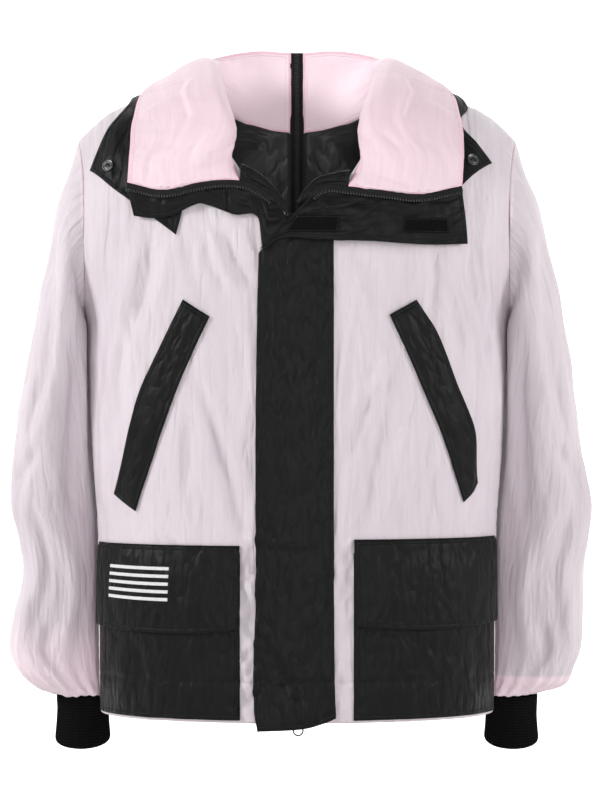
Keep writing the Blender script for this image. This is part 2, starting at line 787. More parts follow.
def pileCloth(name, colours):
    tone, pale = colours["tone"], colours["pale"]
    finish = Finish(
        name, tone, 0.95, Sheen_Weight=0.02, Sheen_Roughness=0.6, Specular_IOR_Level=0.05
    )
    place = finish.place()
    loops = finish.node("TexVoronoi", {"feature": "F1"}, {"Vector": place, "Scale": 1300.0}, "Distance")
    patchy = finish.noise(place, 160, 3, 0.6)
    finish.put("Base Color", finish.mix(finish.span(loops + patchy * 0.5, 0.4, 1.0), pale, tone))
    finish.put("Normal", finish.bump(loops, 0.8, 0.0008))
    return finish.material


def platedMetal(name, tone, pale, roughness):
    finish = Finish(name, tone, roughness, 1.0)
    place = finish.space()
    wear = finish.noise(place, 260, 4, 0.65)
    brushed = finish.noise(place, 900)
    finish.put("Base Color", finish.mix(finish.span(wear, 0.35, 0.7), tone, pale))
    finish.put("Roughness", finish.span(brushed, 0.3, 0.7, roughness - 0.08, roughness + 0.1))
    finish.put("Normal", finish.bump(brushed, 0.15, 0.0001))
    return finish.material


def mouldedTeeth(name, tone, pale):
    finish = Finish(name, tone, 0.4, Specular_IOR_Level=0.45)
    grain = finish.noise(finish.space(), 1400)
    finish.put("Base Color", finish.mix(finish.span(grain, 0.35, 0.65), tone, pale))
    finish.put("Roughness", finish.span(grain, 0.3, 0.7, 0.32, 0.5))
    return finish.material


def threadFinish(name, tone, pale):
    finish = Finish(name, tone, 0.6, Specular_IOR_Level=0.25)
    twist = finish.noise(finish.space(), 2500)
    finish.put("Base Color", finish.mix(finish.span(twist, 0.35, 0.65), tone, pale))
    finish.put("Normal", finish.bump(twist, 0.4, 0.0001))
    return finish.material


def printInk(name, tone, pale):
    finish = Finish(name, tone, 0.55, Specular_IOR_Level=0.3)
    cracked = finish.noise(finish.space(), 1100, 4, 0.7)
    finish.put("Base Color", finish.mix(finish.span(cracked, 0.4, 0.62), pale, tone))
    finish.put("Normal", finish.bump(cracked, 0.3, 0.0001))
    return finish.material


pinkNylon = thinNylon("pink_nylon", nylon["body"], 0.5)
pinkInside = thinNylon("pink_nylon_inside", nylon["body"], 0.58)
collarNylon = thinNylon("collar_nylon", nylon["collar"], 0.5, 0.004, 0.006, 0.2, 0.6)
blackNylon = plainCloth("black_nylon", nylon["black"], 0.48, hem=0.0048)
hoodInside = plainCloth("black_nylon_inside", nylon["black"], 0.5)
liningCloth = plainCloth(
    "lining", {"tone": (0.02, 0.021, 0.02), "pale": (0.032, 0.033, 0.032)}, 0.4, (0.3, 0.1), 0.05, 0.25,
    creases=0.4,
)
ribKnit = knitCloth("rib_knit", {"tone": (0.0028, 0.003, 0.0028), "pale": (0.007, 0.0075, 0.007)})
zipTape = plainCloth(
    "zip_tape", {"tone": (0.006, 0.006, 0.006), "pale": (0.014, 0.014, 0.014)}, 0.75, (0.1, 0.6)
)
zipTeeth = mouldedTeeth("zip_teeth", (0.01, 0.01, 0.01), (0.026, 0.026, 0.026))
loopPile = pileCloth("loop_patch", {"tone": (0.002, 0.0022, 0.002), "pale": (0.006, 0.0063, 0.006)})
darkMetal = platedMetal("dark_metal", (0.06, 0.062, 0.062), (0.2, 0.205, 0.2), 0.34)
snapCore = mouldedTeeth("snap_core", (0.004, 0.004, 0.004), (0.008, 0.008, 0.008))
blackThread = threadFinish("black_thread", (0.012, 0.0125, 0.012), (0.03, 0.031, 0.03))
pinkThread = threadFinish("pink_thread", (0.7, 0.56, 0.62), (0.82, 0.68, 0.74))
whiteInk = printInk("white_print", (0.8, 0.8, 0.79), (0.55, 0.55, 0.55))
print("materials made")


# Body panels. A neck mark without an x lies on the panel's centre edge.
panel = {
    "frontColumns": 84,
    "frontRows": 250,
    "backColumns": 58,
    "backRows": 190,
    "thick": 1.2,
    "zipEdge": 5.6,
    "backCentre": 7.3,
    "pucker": 1.0,
    "seeds": {"front": 50, "back": 40},
    "frontNeck": [
        (None, -255), (None, -141), (30, -128), (55, -106), (76, -72), (92, -30), (98, 10),
    ],
    "backNeck": [(None, -255), (None, -140), (None, -33), (30, -30), (60, -22), (85, -8), (98, 10)],
    "cut": {
        "front": {"flat": (0.31, 0.82), "area": 0.2},
        "back": {"flat": (0.3, 0.84), "area": 0.196},
    },
}
armhole = {"x": 242, "shoulderOut": 11, "footOut": 3, "z": -152.5, "high": 102.5}


# The armhole's outline: x and z at an angle from its top
def armholeAt(angle):
    c = np.cos(np.radians(angle))
    out = armhole["shoulderOut"] * np.maximum(0, c) ** 3 + armhole["footOut"] * np.maximum(0, -c) ** 3
    return armhole["x"] + out, armhole["z"] + armhole["high"] * c


# Places of a panel, in rows from the hem to the neck and columns from the centre to the side
def panelPlaces(face, centre, columns, rows):
    s = np.linspace(0, 1, columns)
    bowed = np.sin(s * np.pi / 2)
    marks = [(centre(z) if x is None else x, z) for x, z in panel[face + "Neck"]]
    marks = np.array([(float(x), float(z)) for x, z in marks])
    keys = spacing(marks)
    neckX, neckZ, tipZ = form["neckX"], form["neckZ"], form["tipZ"]

    def placesAt(t):
        low = t < 0.5
        z = lerp(hemZ, armpitZ, np.minimum(t * 2, 1))
        lowX = lerp(centre(z)[:, None], formHalf(z)[:, None], bowed)
        lowZ = np.repeat(z[:, None], columns, 1)
        u = np.clip(t * 2 - 1, 0, 1)
        innerX = np.interp(u * keys[-1], keys, marks[:, 0])[:, None]
        innerZ = np.interp(u * keys[-1], keys, marks[:, 1])[:, None]
        outerX, outerZ = (a[:, None] for a in armholeAt(180 * (1 - u)))
        share = lerp(bowed, s, ease(u)[:, None])
        x = lerp(innerX, outerX, share)
        level = lerp(innerZ, outerZ, share)
        line = lerp(neckZ, tipZ, (x - neckX) / (outerX - neckX))
        z = level + np.where(x > neckX, (ridge(x) - line) * u[:, None] ** 3, 0)
        z = np.where(u[:, None] >= 1, ridge(x), z)
        return np.where(low[:, None], lowX, x), np.where(low[:, None], lowZ, z)

    dense = np.linspace(0, 1, 1400)
    x, z = placesAt(dense)
    y = depthAt(x, z, face)
    reach = spacing(np.stack([x, y, z], -1))
    return placesAt(np.interp(np.linspace(0, reach[-1], rows), reach, dense))


def backCentre(z):
    return np.full(np.shape(z), panel["backCentre"])


for hand in (left, right):
    for face in ("front", "back"):
        side = sideName[hand]
        centre = backCentre if face == "back" else lambda z: zipAt(z) * hand + panel["zipEdge"]
        x, z = panelPlaces(face, centre, panel[face + "Columns"], panel[face + "Rows"])
        grid = onBody(x * hand, z, face)
        normals = formNormal(x * hand, z, face)
        grid = grid + normals * pucker(grid, panel["pucker"], panel["seeds"][face] + hand)[..., None]
        cloth = sheetMesh(f"cloth_{face}_{side}", grid, sideOf(grid, normals), uv=(x * hand, z))
        piece = thickened(cloth, panel["thick"])
        dressed(piece, [pinkNylon, pinkInside], [f"{face}_{side}"])
print("body panels made")

# Sleeves, a ring for each section. Angle 0 is the outer edge, 90 the front, 180 next to the body.
# The creases' marks are an angle and a height.
sleeve = {
    "around": 128,
    "rows": 176,
    "thick": 1.2,
    "clear": 4.4,
    "sections": [
        # inX, inZ, outX, outX of the left arm, outZ, yIn, yOut, reach
        (247, -257, 263, 262, -84, 2, 0, 64),
        (243, -262, 277, 279, -124, 3, 2, 69),
        (238, -274, 286, 291, -176, 4, 5, 75),
        (235, -300, 295, 303, -236, 10, 8, 78),
        (232, -338, 307, 314, -300, 24, 10, 78),
        (230, -385, 323, 325, -362, 38, 12, 75),
        (229, -432, 328, 331, -420, 50, 14, 70),
        (224, -474, 333, 343, -470, 54, 15, 68),
        (221, -514, 321, 338, -514, 56, 16, 66),
        (219, -556, 320, 333, -556, 58, 18, 65),
        (218, -598, 331, 332, -598, 59, 20, 65),
        (217, -637, 336, 331, -637, 59, 22, 63),
        (216, -664, 326, 322, -662, 58, 25, 57),
        (216, -681, 309, 313, -680, 56, 30, 48),
    ],
    "creases": [
        (12, -6, [(40, -140), (56, -230), (62, -330), (54, -420)]),
        (12, 5, [(80, -180), (84, -260), (76, -390)]),
        (13, -6, [(104, -240), (116, -340), (108, -520)]),
        (12, 5, [(18, -380), (34, -460), (28, -560)]),
        (12, -5, [(60, -450), (72, -540), (66, -650)]),
        (11, 5, [(96, -500), (104, -580), (96, -660)]),
        (9, 4, [(44, -560), (50, -610), (40, -660)]),
        (8, -4, [(84, -600), (80, -640), (86, -672)]),
        (12, 4, [(20, -180), (24, -260), (16, -350)]),
        (11, 4, [(130, -300), (126, -400), (132, -480)]),
        (10, -4, [(72, -400), (50, -432), (30, -450)]),
        (15, -6, [(250, -180), (256, -300), (248, -430)]),
        (15, 6, [(292, -250), (286, -380), (294, -520)]),
        (14, 5, [(262, -470), (268, -560), (260, -650)]),
        (13, -5, [(320, -430), (316, -540), (322, -640)]),
        (12, 4, [(228, -300), (232, -420), (226, -540)]),
        (12, 3, [(340, -220), (336, -320), (342, -420)]),
    ],
    "turnLength": 1.12,  # millimetres to a degree round the sleeve
    "underSeam": 26,  # degrees on both sides of the seam under the arm, where the crumple fades
    "seeds": {"left": 61, "right": 71},
    "seam": {"from": 3, "over": 3, "lowZ": -170, "soft": 40, "share": 0.55},
    "end": {
        "left": {"topZ": -668, "soft": 4, "share": 0.85},
        "right": {"topZ": -590, "soft": 70, "share": 0.6},
    },
    "crumple": 1.8,
    "gathers": 19,
    "gatherHigh": 2.2,
    "gatherFromZ": -636,
    "pucker": 1.3,
    "cut": {"flat": (0.52, 0.69), "area": 0.225},
}
cuff = {
    "x": 252,
    "y": 44,
    "topZ": -692,
    "bottomZ": -748,
    "radius": 31,
    "foot": 32.5,
    "thick": 1,
    "ribs": 72,
    "ribSteps": 4,
    "ribHigh": 0.5,
    "rolls": {"top": (0.8, 0.05), "foot": (1.2, 0.03)},  # how far in its ends turn, over which share
    "waist": 1.4,
    "uneven": 0.7,
    "rows": 26,
    "tilts": [(0, 3), (0.35, 4.5), (0.7, 7), (1, 9)],
    "cut": {"flat": (0.24, 0.06), "area": 0.0144},
}


# How far out the body's side stands, which keeps the sleeve clear of it
def besideBody(y, z):
    depth = np.where(y < 0, formDepth["front"](z), formDepth["back"](z)) + sleeve["clear"]
    power = form["power"]
    wide = np.maximum(0, 1 - np.minimum(1, np.abs(y) / depth) ** power)
    stand = (formHalf(z) + sleeve["clear"]) * wide ** (1 / power)
    return np.where(z > armpitZ - 4, 0, stand)


def armholeRing(angles):
    turn = np.where(angles <= 180, angles, 360 - angles)
    x, z = armholeAt(turn)
    y = np.where(angles <= 180, -depthAt(x, z, "front"), depthAt(x, z, "back"))
    return np.stack([x, y, z], -1)


def circleRing(x, y, z, radius, tilt, angles):
    c, d = np.cos(np.radians(angles)), np.sin(np.radians(angles))
    return np.stack([x + radius * c, y - radius * d, z - tilt * d], -1)


def sleeveGrid(hand, around, rows):
    angles = np.arange(around) * 360 / around
    c, d = np.cos(np.radians(angles)), np.sin(np.radians(angles))

    def squared(v):
        return np.sign(v) * np.abs(v) ** (2 / form["power"])

    rings = [armholeRing(angles)]
    for inX, inZ, outX, leftOut, outZ, yIn, yOut, reach in sleeve["sections"]:
        inner = np.array([inX, yIn, inZ], float)
        outer = np.array([leftOut if hand == left else outX, yOut, outZ], float)
        middle, half = (inner + outer) / 2, (outer - inner) / 2
        ring = middle + half * squared(c)[:, None]
        ring[:, 1] -= reach * squared(d)
        rings.append(ring)
    for z, radius, tilt in ((cuff["topZ"] + 2, cuff["radius"] + 7, 4), (cuff["topZ"], cuff["radius"], 3)):
        rings.append(circleRing(cuff["x"], cuff["y"], z, radius, tilt, angles))
    grid = through(rings, rows)
    way = gridNormals(grid, wrap=True)
    middle = grid.mean(1, keepdims=True)
    way = way * np.sign((way * (grid - middle)).sum(-1).mean())
    turn = np.repeat(angles[None], rows, 0)
    z = grid[..., 2]
    length = sleeve["turnLength"]
    height = np.zeros(z.shape)
    for wide, high, marks in sleeve["creases"]:
        height += creaseHeight(turn * length, z, wide, high, np.array(marks) * (length, 1))
    seam = ease(np.abs(turn - 180) / sleeve["underSeam"])
    shifted = ((turn + 180) % 360) * length
    seed = sleeve["seeds"][sideName[hand]]
    height += sleeve["crumple"] * crumple(shifted, z, seed) * seam
    gather = ease((sleeve["gatherFromZ"] - z) / (sleeve["gatherFromZ"] - cuff["topZ"]))
    wander = 0.5 * uneven(turn * length, z, 26, 50, seed + 9)
    pleats = np.sin(np.radians(turn) * sleeve["gathers"] + wander * 3)
    closing = ease((z - cuff["topZ"]) / 7)
    height += sleeve["gatherHigh"] * gather * pleats * lerp(0.25, 1, closing)
    height += pucker(grid, sleeve["pucker"], seed + 12, wrap=True)
    held = ease(flatMeasures(grid)[1] / 14)
    grid = grid + way * (height * held)[..., None]
    grid[..., 0] = np.maximum(grid[..., 0], besideBody(grid[..., 1], z))
    return grid * np.array([hand, 1, 1])


def cuffGrid(hand):
    count = cuff["ribs"] * cuff["ribSteps"]
    angles = np.arange(count) * 360 / count
    rib = cuff["ribHigh"] * (np.cos(np.radians(angles) * cuff["ribs"]) - 1)
    top = cuff["topZ"] - form["wall"] - seamGap
    (topHigh, topShare), (footHigh, footShare) = cuff["rolls"]["top"], cuff["rolls"]["foot"]
    grid = []
    for share in np.linspace(0, 1, cuff["rows"]):
        roll = footHigh * np.exp(-(1 - share) / footShare) + topHigh * np.exp(-share / topShare)
        waist = cuff["waist"] * np.sin(np.pi * share)
        small = cuff["uneven"] * uneven(angles, share * 50, 40, 40, 83 + hand)
        radius = lerp(cuff["radius"], cuff["foot"], share) + rib - roll - waist + small
        tilt = np.interp(share, *zip(*cuff["tilts"]))
        z = lerp(top, cuff["bottomZ"], share)
        grid.append(circleRing(cuff["x"], cuff["y"] + 2 * share, z, radius, tilt, angles))
    return np.array(grid) * np.array([hand, 1, 1])


# Doubled cloth shows pinker: at the armhole's seam and at the sleeve's end
def sleeveTint(grid, hand):
    z = grid[..., 2]
    v = flatMeasures(grid)[1]
    seam = sleeve["seam"]
    beside = (1 - ease((v - seam["from"]) / seam["over"])) * ease((z - seam["lowZ"]) / seam["soft"])
    end = sleeve["end"][sideName[hand]]
    low = end["share"] * ease((end["topZ"] - z) / end["soft"])
    return np.clip(seam["share"] * beside + low, 0, 1)


# A tube of cloth all round
def tube(name, grid, thick, tint=None):
    outwards = sideOf(grid, grid - grid.mean(1, keepdims=True), wrap=True)
    return thickened(sheetMesh(name, grid, outwards, wrap=True, tint=tint), thick)


for hand in (left, right):
    side = sideName[hand]
    grid = sleeveGrid(hand, sleeve["around"], sleeve["rows"])
    piece = tube(f"cloth_sleeve_{side}", grid, sleeve["thick"], sleeveTint(grid, hand))
    dressed(piece, [pinkNylon, pinkInside], [f"sleeve_{side}"])
    piece = tube(f"rib_cuff_{side}", cuffGrid(hand), cuff["thick"])
    dressed(piece, [ribKnit], [f"cuff_{side}"])
print("sleeves and cuffs made")

# The line that the opened zip lies along, from the closed zip to the collar's outer edge: x, out, z
turnedZip = {
    "left": [
        (1, 5.6, -138), (29, 10, -117), (59, 13, -118.5), (109, 15, -125), (135.5, 15, -126.5),
        (182, 14, -115),
    ],
    "right": [
        (13, 5.6, -143), (34.5, 9, -123.5), (59.5, 12, -112), (98, 14, -112), (144.5, 15, -121.5),
        (186, 14, -112),
    ],
    "neckShare": 0.33,
    "half": 3,
}


# Places beside that line, whose distance from it is measured upwards
def turned(hand):
    marks = np.array(turnedZip[sideName[hand]], float)
    dense = through(marks, 400)
    reach = spacing(dense)
    ways = np.gradient(dense, axis=0)

    def beside(u, over, lift=0.0):
        at = np.asarray(u, float) * reach[-1]
        p = np.stack([np.interp(at, reach, dense[:, k]) for k in range(3)], -1)
        way = np.stack([np.interp(at, reach, ways[:, k]) for k in range(3)], -1)
        length = np.hypot(way[..., 0], way[..., 2])
        x = p[..., 0] - way[..., 2] / length * over
        z = p[..., 2] + way[..., 0] / length * over
        return x * hand, z, p[..., 1] + lift

    return beside


def besideTurned(hand, u, over, lift=0.0):
    x, z, out = turned(hand)(u, over, lift)
    return onBody(x, z, "front", out)


# Collar: stations from the centre back round to the opened zip, each with the seam, the rise, the
# roll and the outer edge. The creases' marks are shares along and across.
collar = {
    "columns": 76,
    "rows": 170,
    "thick": 1.3,
    "seamOut": 2.1,
    "stations": [
        [(7.3, 0, -33), (7.3, 101, 0), (7.3, 104, 35), (7.3, 99, 65)],
        [(45, 0, -28), (50, 94, 5), (52, 97, 38), (50, 92, 66)],
        [(80, 0, -12), (86, 64, 20), (90, 70, 47), (98, 67, 54)],
        [(97, 4, 12), (90, -2, 34), (110, 0, 45), (171, 10, 15)],
        [(91.5, -74, -30), (80, -70, -6), (100, -86, 4), (186, -64, -32)],
        [(77, -100, -72), (70, -107, -58), (86, -120, -50), (188, -91, -68)],
    ],
    "creases": [
        (4, -2.6, [(0.5, 0.42), (0.62, 0.55), (0.72, 0.5), (0.88, 0.62)]),
        (4, 2, [(0.54, 0.46), (0.56, 0.7), (0.6, 0.94)]),
        (5, -1.6, [(0.64, 0.56), (0.68, 0.75), (0.76, 0.94)]),
        (5, 1.8, [(0.74, 0.3), (0.8, 0.42), (0.94, 0.44)]),
        (5, 1.5, [(0.8, 0.66), (0.88, 0.8), (0.97, 0.82)]),
        (6, -1.8, [(0.1, 0.3), (0.2, 0.5), (0.36, 0.6)]),
        (5, 1.8, [(0.18, 0.2), (0.28, 0.36), (0.42, 0.4)]),
    ],
    "crumple": 0.9,
    "pucker": 0.8,
    "warmTo": (0.36, 0.14),  # the back's warmer pink ends at this share along, over this one
    "cut": {"flat": (0.17, 0.45), "area": 0.0455},
}


def collarGrid(hand):
    stations = []
    for k, station in enumerate(collar["stations"]):
        marks = [np.array(p, float) * (hand, 1, 1) for p in station]
        if k != 3:
            face = "back" if k < 3 else "front"
            marks[0] = onBody(marks[0][0], marks[0][2], face, collar["seamOut"])
        stations.append(marks)
    share = turnedZip["neckShare"]
    over = turnedZip["half"]
    stations.append(list(besideTurned(hand, np.linspace(share, 1, 4), over, 0.5)))
    rows = through(np.array(stations), collar["rows"])
    grid = across(through(across(rows), collar["columns"]))
    shares = np.linspace(share, 1, collar["columns"])
    grid[-1] = besideTurned(hand, shares, over + seamGap, 0.5)
    u, v = flatMeasures(grid)
    wide, long = u[:, -1].mean(), v[-1].mean()
    su, sv = u / u[:, -1:] * wide, v / v[-1:] * long
    height = np.zeros(u.shape)
    for spread, high, marks in collar["creases"]:
        height += creaseHeight(su, sv, spread, high, np.array(marks)[:, ::-1] * (wide, long))
    height += collar["crumple"] * crumple(sv, su, 91 + hand, 0.8)
    height *= ease(edgeDistance(grid) / 12)
    height += pucker(grid, collar["pucker"], 95 + hand)
    return grid + gridNormals(grid) * hand * height[..., None]


collarGrids = {}
for hand in (left, right):
    side = sideName[hand]
    grid = collarGrid(hand)
    start, over = collar["warmTo"]
    back = 1 - ease((np.linspace(0, 1, collar["rows"]) - start) / over)
    tint = np.repeat(back[:, None], collar["columns"], 1)
    piece = thickened(sheetMesh(f"cloth_collar_{side}", grid, hand, tint=tint), collar["thick"])
    dressed(piece, [collarNylon, collarNylon], [f"collar_{side}"])
    collarGrids[hand] = grid
print("collar made")


towardsFront = (0, -1, 0)


# Trims that lie on the body: a grid of places, each with its clearance out
def chestTrim(name, x, z, out, thick, node, materials=(blackNylon, blackNylon), face="front", ripple=None):
    normals = formNormal(x, z, face)
    grid = onBody(x, z, face, out + thick)
    if ripple is not None:
        grid = grid + normals * ripple(grid)[..., None]
    piece = thickened(sheetMesh(name, grid, sideOf(grid, normals)), thick)
    dressed(piece, materials, [node])
    return piece, grid


# Facings: black crescents that roll over the neck's edge
facing = {
    "stations": [(0.02, 2, 2), (0.1, 6, 5), (0.18, 10, 8), (0.26, 14, 10), (0.33, 18, 11)],
    "rows": 44,
    "columns": 14,
    "thick": 1.2,
    "cut": {"flat": (0.032, 0.078), "area": 0.0013},
}
for hand in (left, right):
    side = sideName[hand]
    stations = []
    for u, roll, back in facing["stations"]:
        low = besideTurned(hand, u, turnedZip["half"] + seamGap, 0.3)
        top = besideTurned(hand, u, turnedZip["half"] + roll, 1.5)
        stations.append([low, top, top + (-2 * hand, back, 1)])
    rows = through(np.array(stations), facing["rows"])
    grid = across(through(across(rows), facing["columns"]))
    cloth = sheetMesh(f"facing_roll_{side}", grid, sideOf(grid, towardsFront))
    piece = thickened(cloth, facing["thick"])
    dressed(piece, [blackNylon, blackNylon], [f"facing_{side}"])

# Storm bands that hang from the opened zip: u on the zip's line, then the lower edge
band = {
    "left": [
        (0.01, -40, -183), (0.05, -27, -176), (0.1, -12, -169.5), (0.2, 14, -172), (0.34, 45, -173.5),
        (0.5, 85, -174), (0.7, 127, -177), (0.85, 160, -177), (1, 189, -175),
    ],
    "right": [
        (0.01, 9, -154), (0.06, 22, -171), (0.12, 38, -186), (0.17, 42, -147), (0.22, 50, -142.5),
        (0.34, 69, -145), (0.44, 88, -137), (0.55, 108, -130), (0.66, 124, -138), (0.78, 141, -146),
        (0.9, 163, -147), (1, 181, -144),
    ],
    "lift": {"left": 6.4, "right": 4.2},
    "thick": 1.5,
    "rows": 150,
    "columns": 26,
    "soften": 14,
    "folds": {
        "left": [
            (4, 1.4, [(28, -122), (34, -148), (30, -168)]),
            (5, -1.2, [(98, -128), (92, -150), (96, -170)]),
            (4, 1.3, [(150, -130), (154, -160), (150, -174)]),
        ],
        "right": [
            (2.4, -3, [(-76, -114), (-77.5, -128), (-76, -141)]),
            (4, 1.8, [(-52, -124), (-47, -138), (-41, -156)]),
            (4, 1.6, [(-112, -118), (-106, -134), (-110, -150)]),
            (3.5, -1.4, [(-146, -122), (-152, -138), (-150, -150)]),
        ],
    },
    "cut": {
        "left": {"flat": (0.066, 0.24), "area": 0.0115},
        "right": {"flat": (0.055, 0.22), "area": 0.0055},
    },
}


# Rounds off the corners of a line of places
def softened(line, steps):
    for _ in range(steps):
        line = np.concatenate([line[:1], (line[:-2] + 2 * line[1:-1] + line[2:]) / 4, line[-1:]])
    return line


def bandPlaces(hand, rows, columns):
    side = sideName[hand]
    table = np.array(band[side], float)
    marks = table[:, 1:]
    at = spacing(marks)
    rowsAt = softened(straight(at, table)(np.linspace(0, at[-1], rows)), band["soften"])
    u, x, z = rowsAt[:, 0], rowsAt[:, 1], rowsAt[:, 2]
    topX, topZ, topOut = turned(hand)(u, 0, -0.5 - band["thick"] - 2 * seamGap)
    t = np.linspace(0, 1, columns)
    gridX = lerp(topX[:, None], (x * hand)[:, None], t)
    gridZ = lerp(topZ[:, None], z[:, None], t)
    out = lerp(topOut[:, None], band["lift"][side], t) + 1.2 * np.sin(np.pi * t)
    return gridX, gridZ, out


bandGrids = {}
for hand in (left, right):
    side = sideName[hand]
    x, z, out = bandPlaces(hand, band["rows"], band["columns"])
    piece, grid = chestTrim(
        f"storm_band_{side}", x, z, out, band["thick"], f"collar_band_{side}",
        ripple=lambda g: pucker(g, 0.8, 131, 9, 7) + creased(band["folds"][side], x, z),
    )
    bandGrids[hand] = grid
print("facings and storm bands made")

# Placket over the zip
placket = {
    "edges": [(-717, -42, 43), (-661, -48, 42), (-560, -45.5, 41), (-360, -45.5, 41), (-140, -42, 41)],
    "foot": [(-48, -717.5), (5, -714.5), (31, -708.5), (44, -703)],
    "between": (-710, -165),  # the heights over which the edges are read
    "held": (6, 33),  # sewn down from the first place across, over the second
    "flareOver": 58,
    "cornerX": -9,
    "topZ": -143,
    "foldX": -42,
    "foldZ": -187,
    "free": 2.5,
    "sewn": 0.5,
    "flare": 6.2,
    "flareFromZ": -650,
    "thick": 1.5,
    "crumple": 0.6,
    "pucker": 0.9,
    "rows": 200,
    "columns": 44,
    "folds": [
        (5, 2.2, [(-40, -596), (-14, -640), (20, -676)]),
        (5, -2, [(-34, -640), (-8, -668), (26, -700)]),
        (4, 1.8, [(-44, -508), (0, -512), (40, -506)]),
        (6, 1.5, [(-40, -200), (-20, -260), (-30, -330)]),
        (6, -1.4, [(20, -240), (28, -330), (18, -420)]),
        (6, 1.6, [(-24, -380), (-14, -440), (-28, -500)]),
    ],
    "cut": {"flat": (0.1, 0.578), "area": 0.05},
}


def placketPlaces(rows, columns):
    edges = np.array(placket["edges"], float)
    foot = np.array(placket["foot"], float)
    v = np.linspace(0, 1, rows)[:, None]
    level = lerp(*placket["between"], v)
    s = np.linspace(0, 1, columns)
    x = lerp(track(edges[:, 0], edges[:, 1])(level), track(edges[:, 0], edges[:, 2])(level), s)
    fold = np.clip((x - placket["cornerX"]) / (placket["foldX"] - placket["cornerX"]), 0, 1.1)
    top = lerp(placket["topZ"], placket["foldZ"], fold)
    z = lerp(track(foot[:, 0], foot[:, 1])(x), top, v)
    start, over = placket["held"]
    hold = ease((x - start) / over)
    opened = ease((placket["flareFromZ"] - z) / placket["flareOver"]) * (1 - hold)
    return x, z, lerp(placket["free"], placket["sewn"], hold) + placket["flare"] * opened


def placketRipple(g):
    small = pucker(g, placket["pucker"], 141, 8, 8) + placket["crumple"] * crumple(x * 1.2, z, 143, 0.8)
    return small + creased(placket["folds"], x, z)


x, z, out = placketPlaces(placket["rows"], placket["columns"])
placketPiece, placketGrid = chestTrim(
    "zip_placket", x, z, out, placket["thick"], "placket", ripple=placketRipple
)

# Pockets and their flaps
pocket = {
    "innerX": 63,
    "outerX": 224.5,
    "topZ": -520,
    "footZ": -706,
    "bulge": 5.2,
    "thick": 1.5,
    "rows": 64,
    "columns": 56,
    "crumple": 0.75,
    "pucker": 0.7,
    "calmEdge": 14,  # the crumple grows over these millimetres from an edge
    "creases": {
        "left": [
            (7, 2, [(150, -625), (140, -660), (120, -690)]),
            (7, -2, [(195, -610), (200, -650), (196, -690)]),
        ],
        "right": [
            (7, 2, [(90, -625), (100, -660), (110, -690)]),
            (7, -2, [(180, -615), (170, -655), (176, -690)]),
        ],
    },
    "cut": {"flat": (0.21, 0.19), "area": 0.0385},
    "flap": {
        "left": {"topZ": -505, "footZ": -602},
        "right": {"topZ": -512, "footZ": -606},
        "innerX": 63.5,
        "outerX": 225,
        "sag": 4,
        "stand": 1.6,  # how far its free edge stands off
        "fold": 0.06,  # the share of its height over which it leaves the body
        "crumple": 0.55,
        "pucker": 0.56,
        "wave": 0.8,
        "rows": 36,
        "columns": 58,
        "cut": {"flat": (0.214, 0.103), "area": 0.021},
    },
}


def pocketRise(x, z):
    s = np.clip((np.abs(x) - pocket["innerX"]) / (pocket["outerX"] - pocket["innerX"]), 0, 1)
    t = np.clip((z - pocket["footZ"]) / (pocket["topZ"] - pocket["footZ"]), 0, 1)
    return pocket["bulge"] * (1 - np.abs(2 * s - 1) ** 4) * (1 - np.abs(2 * t - 1) ** 4)


# Shares across the front that are even along the cloth
def acrossFront(z, inner, outer, count):
    half = float(formHalf(z))
    start, end = np.arcsin(min(1, inner / half)), np.arcsin(min(1, outer / half))
    return half * np.sin(np.linspace(start, end, count))


pocketGrids = {}
flapGrids = {}
for hand in (left, right):
    side = sideName[hand]
    z = np.linspace(pocket["footZ"], pocket["topZ"], pocket["rows"])[:, None]
    x = np.array([acrossFront(h, pocket["innerX"], pocket["outerX"], pocket["columns"]) for h in z[:, 0]])
    z = np.repeat(z, pocket["columns"], 1)

    def pocketRipple(g):
        small = pocket["crumple"] * crumple(x, z, 151 + hand, 0.9) + creased(pocket["creases"][side], x, z)
        calm = ease(edgeDistance(g) / pocket["calmEdge"])
        return small * calm + pucker(g, pocket["pucker"], 153 + hand, 8, 8)

    piece, grid = chestTrim(
        f"patch_pocket_{side}", x * hand, z, seamGap + pocketRise(x, z), pocket["thick"], f"pocket_{side}",
        ripple=pocketRipple,
    )
    pocketGrids[hand] = grid

    shape = pocket["flap"]
    topZ, footZ = shape[side]["topZ"], shape[side]["footZ"]
    t = np.concatenate([[0, 0.03, 0.06], np.linspace(0.09, 1, shape["rows"] - 3)])[:, None]
    edges = shape["innerX"], shape["outerX"], shape["columns"]
    x = np.array([acrossFront(lerp(topZ, footZ, share), *edges) for share in t[:, 0]])
    s = (x - shape["innerX"]) / (shape["outerX"] - shape["innerX"])
    z = lerp(topZ, footZ, t) - shape["sag"] * np.sin(np.pi * s) * t
    over = pocketRise(x, z) + pocket["thick"] + 2 * seamGap + shape["stand"] * np.sin(np.pi / 2 * t)
    out = 2 * seamGap + over * np.clip(t / shape["fold"], 0, 1)

    def flapRipple(g):
        small = shape["crumple"] * crumple(x, z, 161 + hand, 0.9)
        wave = shape["wave"] * t * uneven(x, z, 40, 200, 165 + hand)
        calm = ease(edgeDistance(g) / pocket["calmEdge"])
        return small * calm + pucker(g, shape["pucker"], 163 + hand, 9, 8) + wave

    piece, grid = chestTrim(
        f"pocket_flap_{side}", x * hand, z, out, pocket["thick"], f"flap_{side}", ripple=flapRipple
    )
    flapGrids[hand] = grid

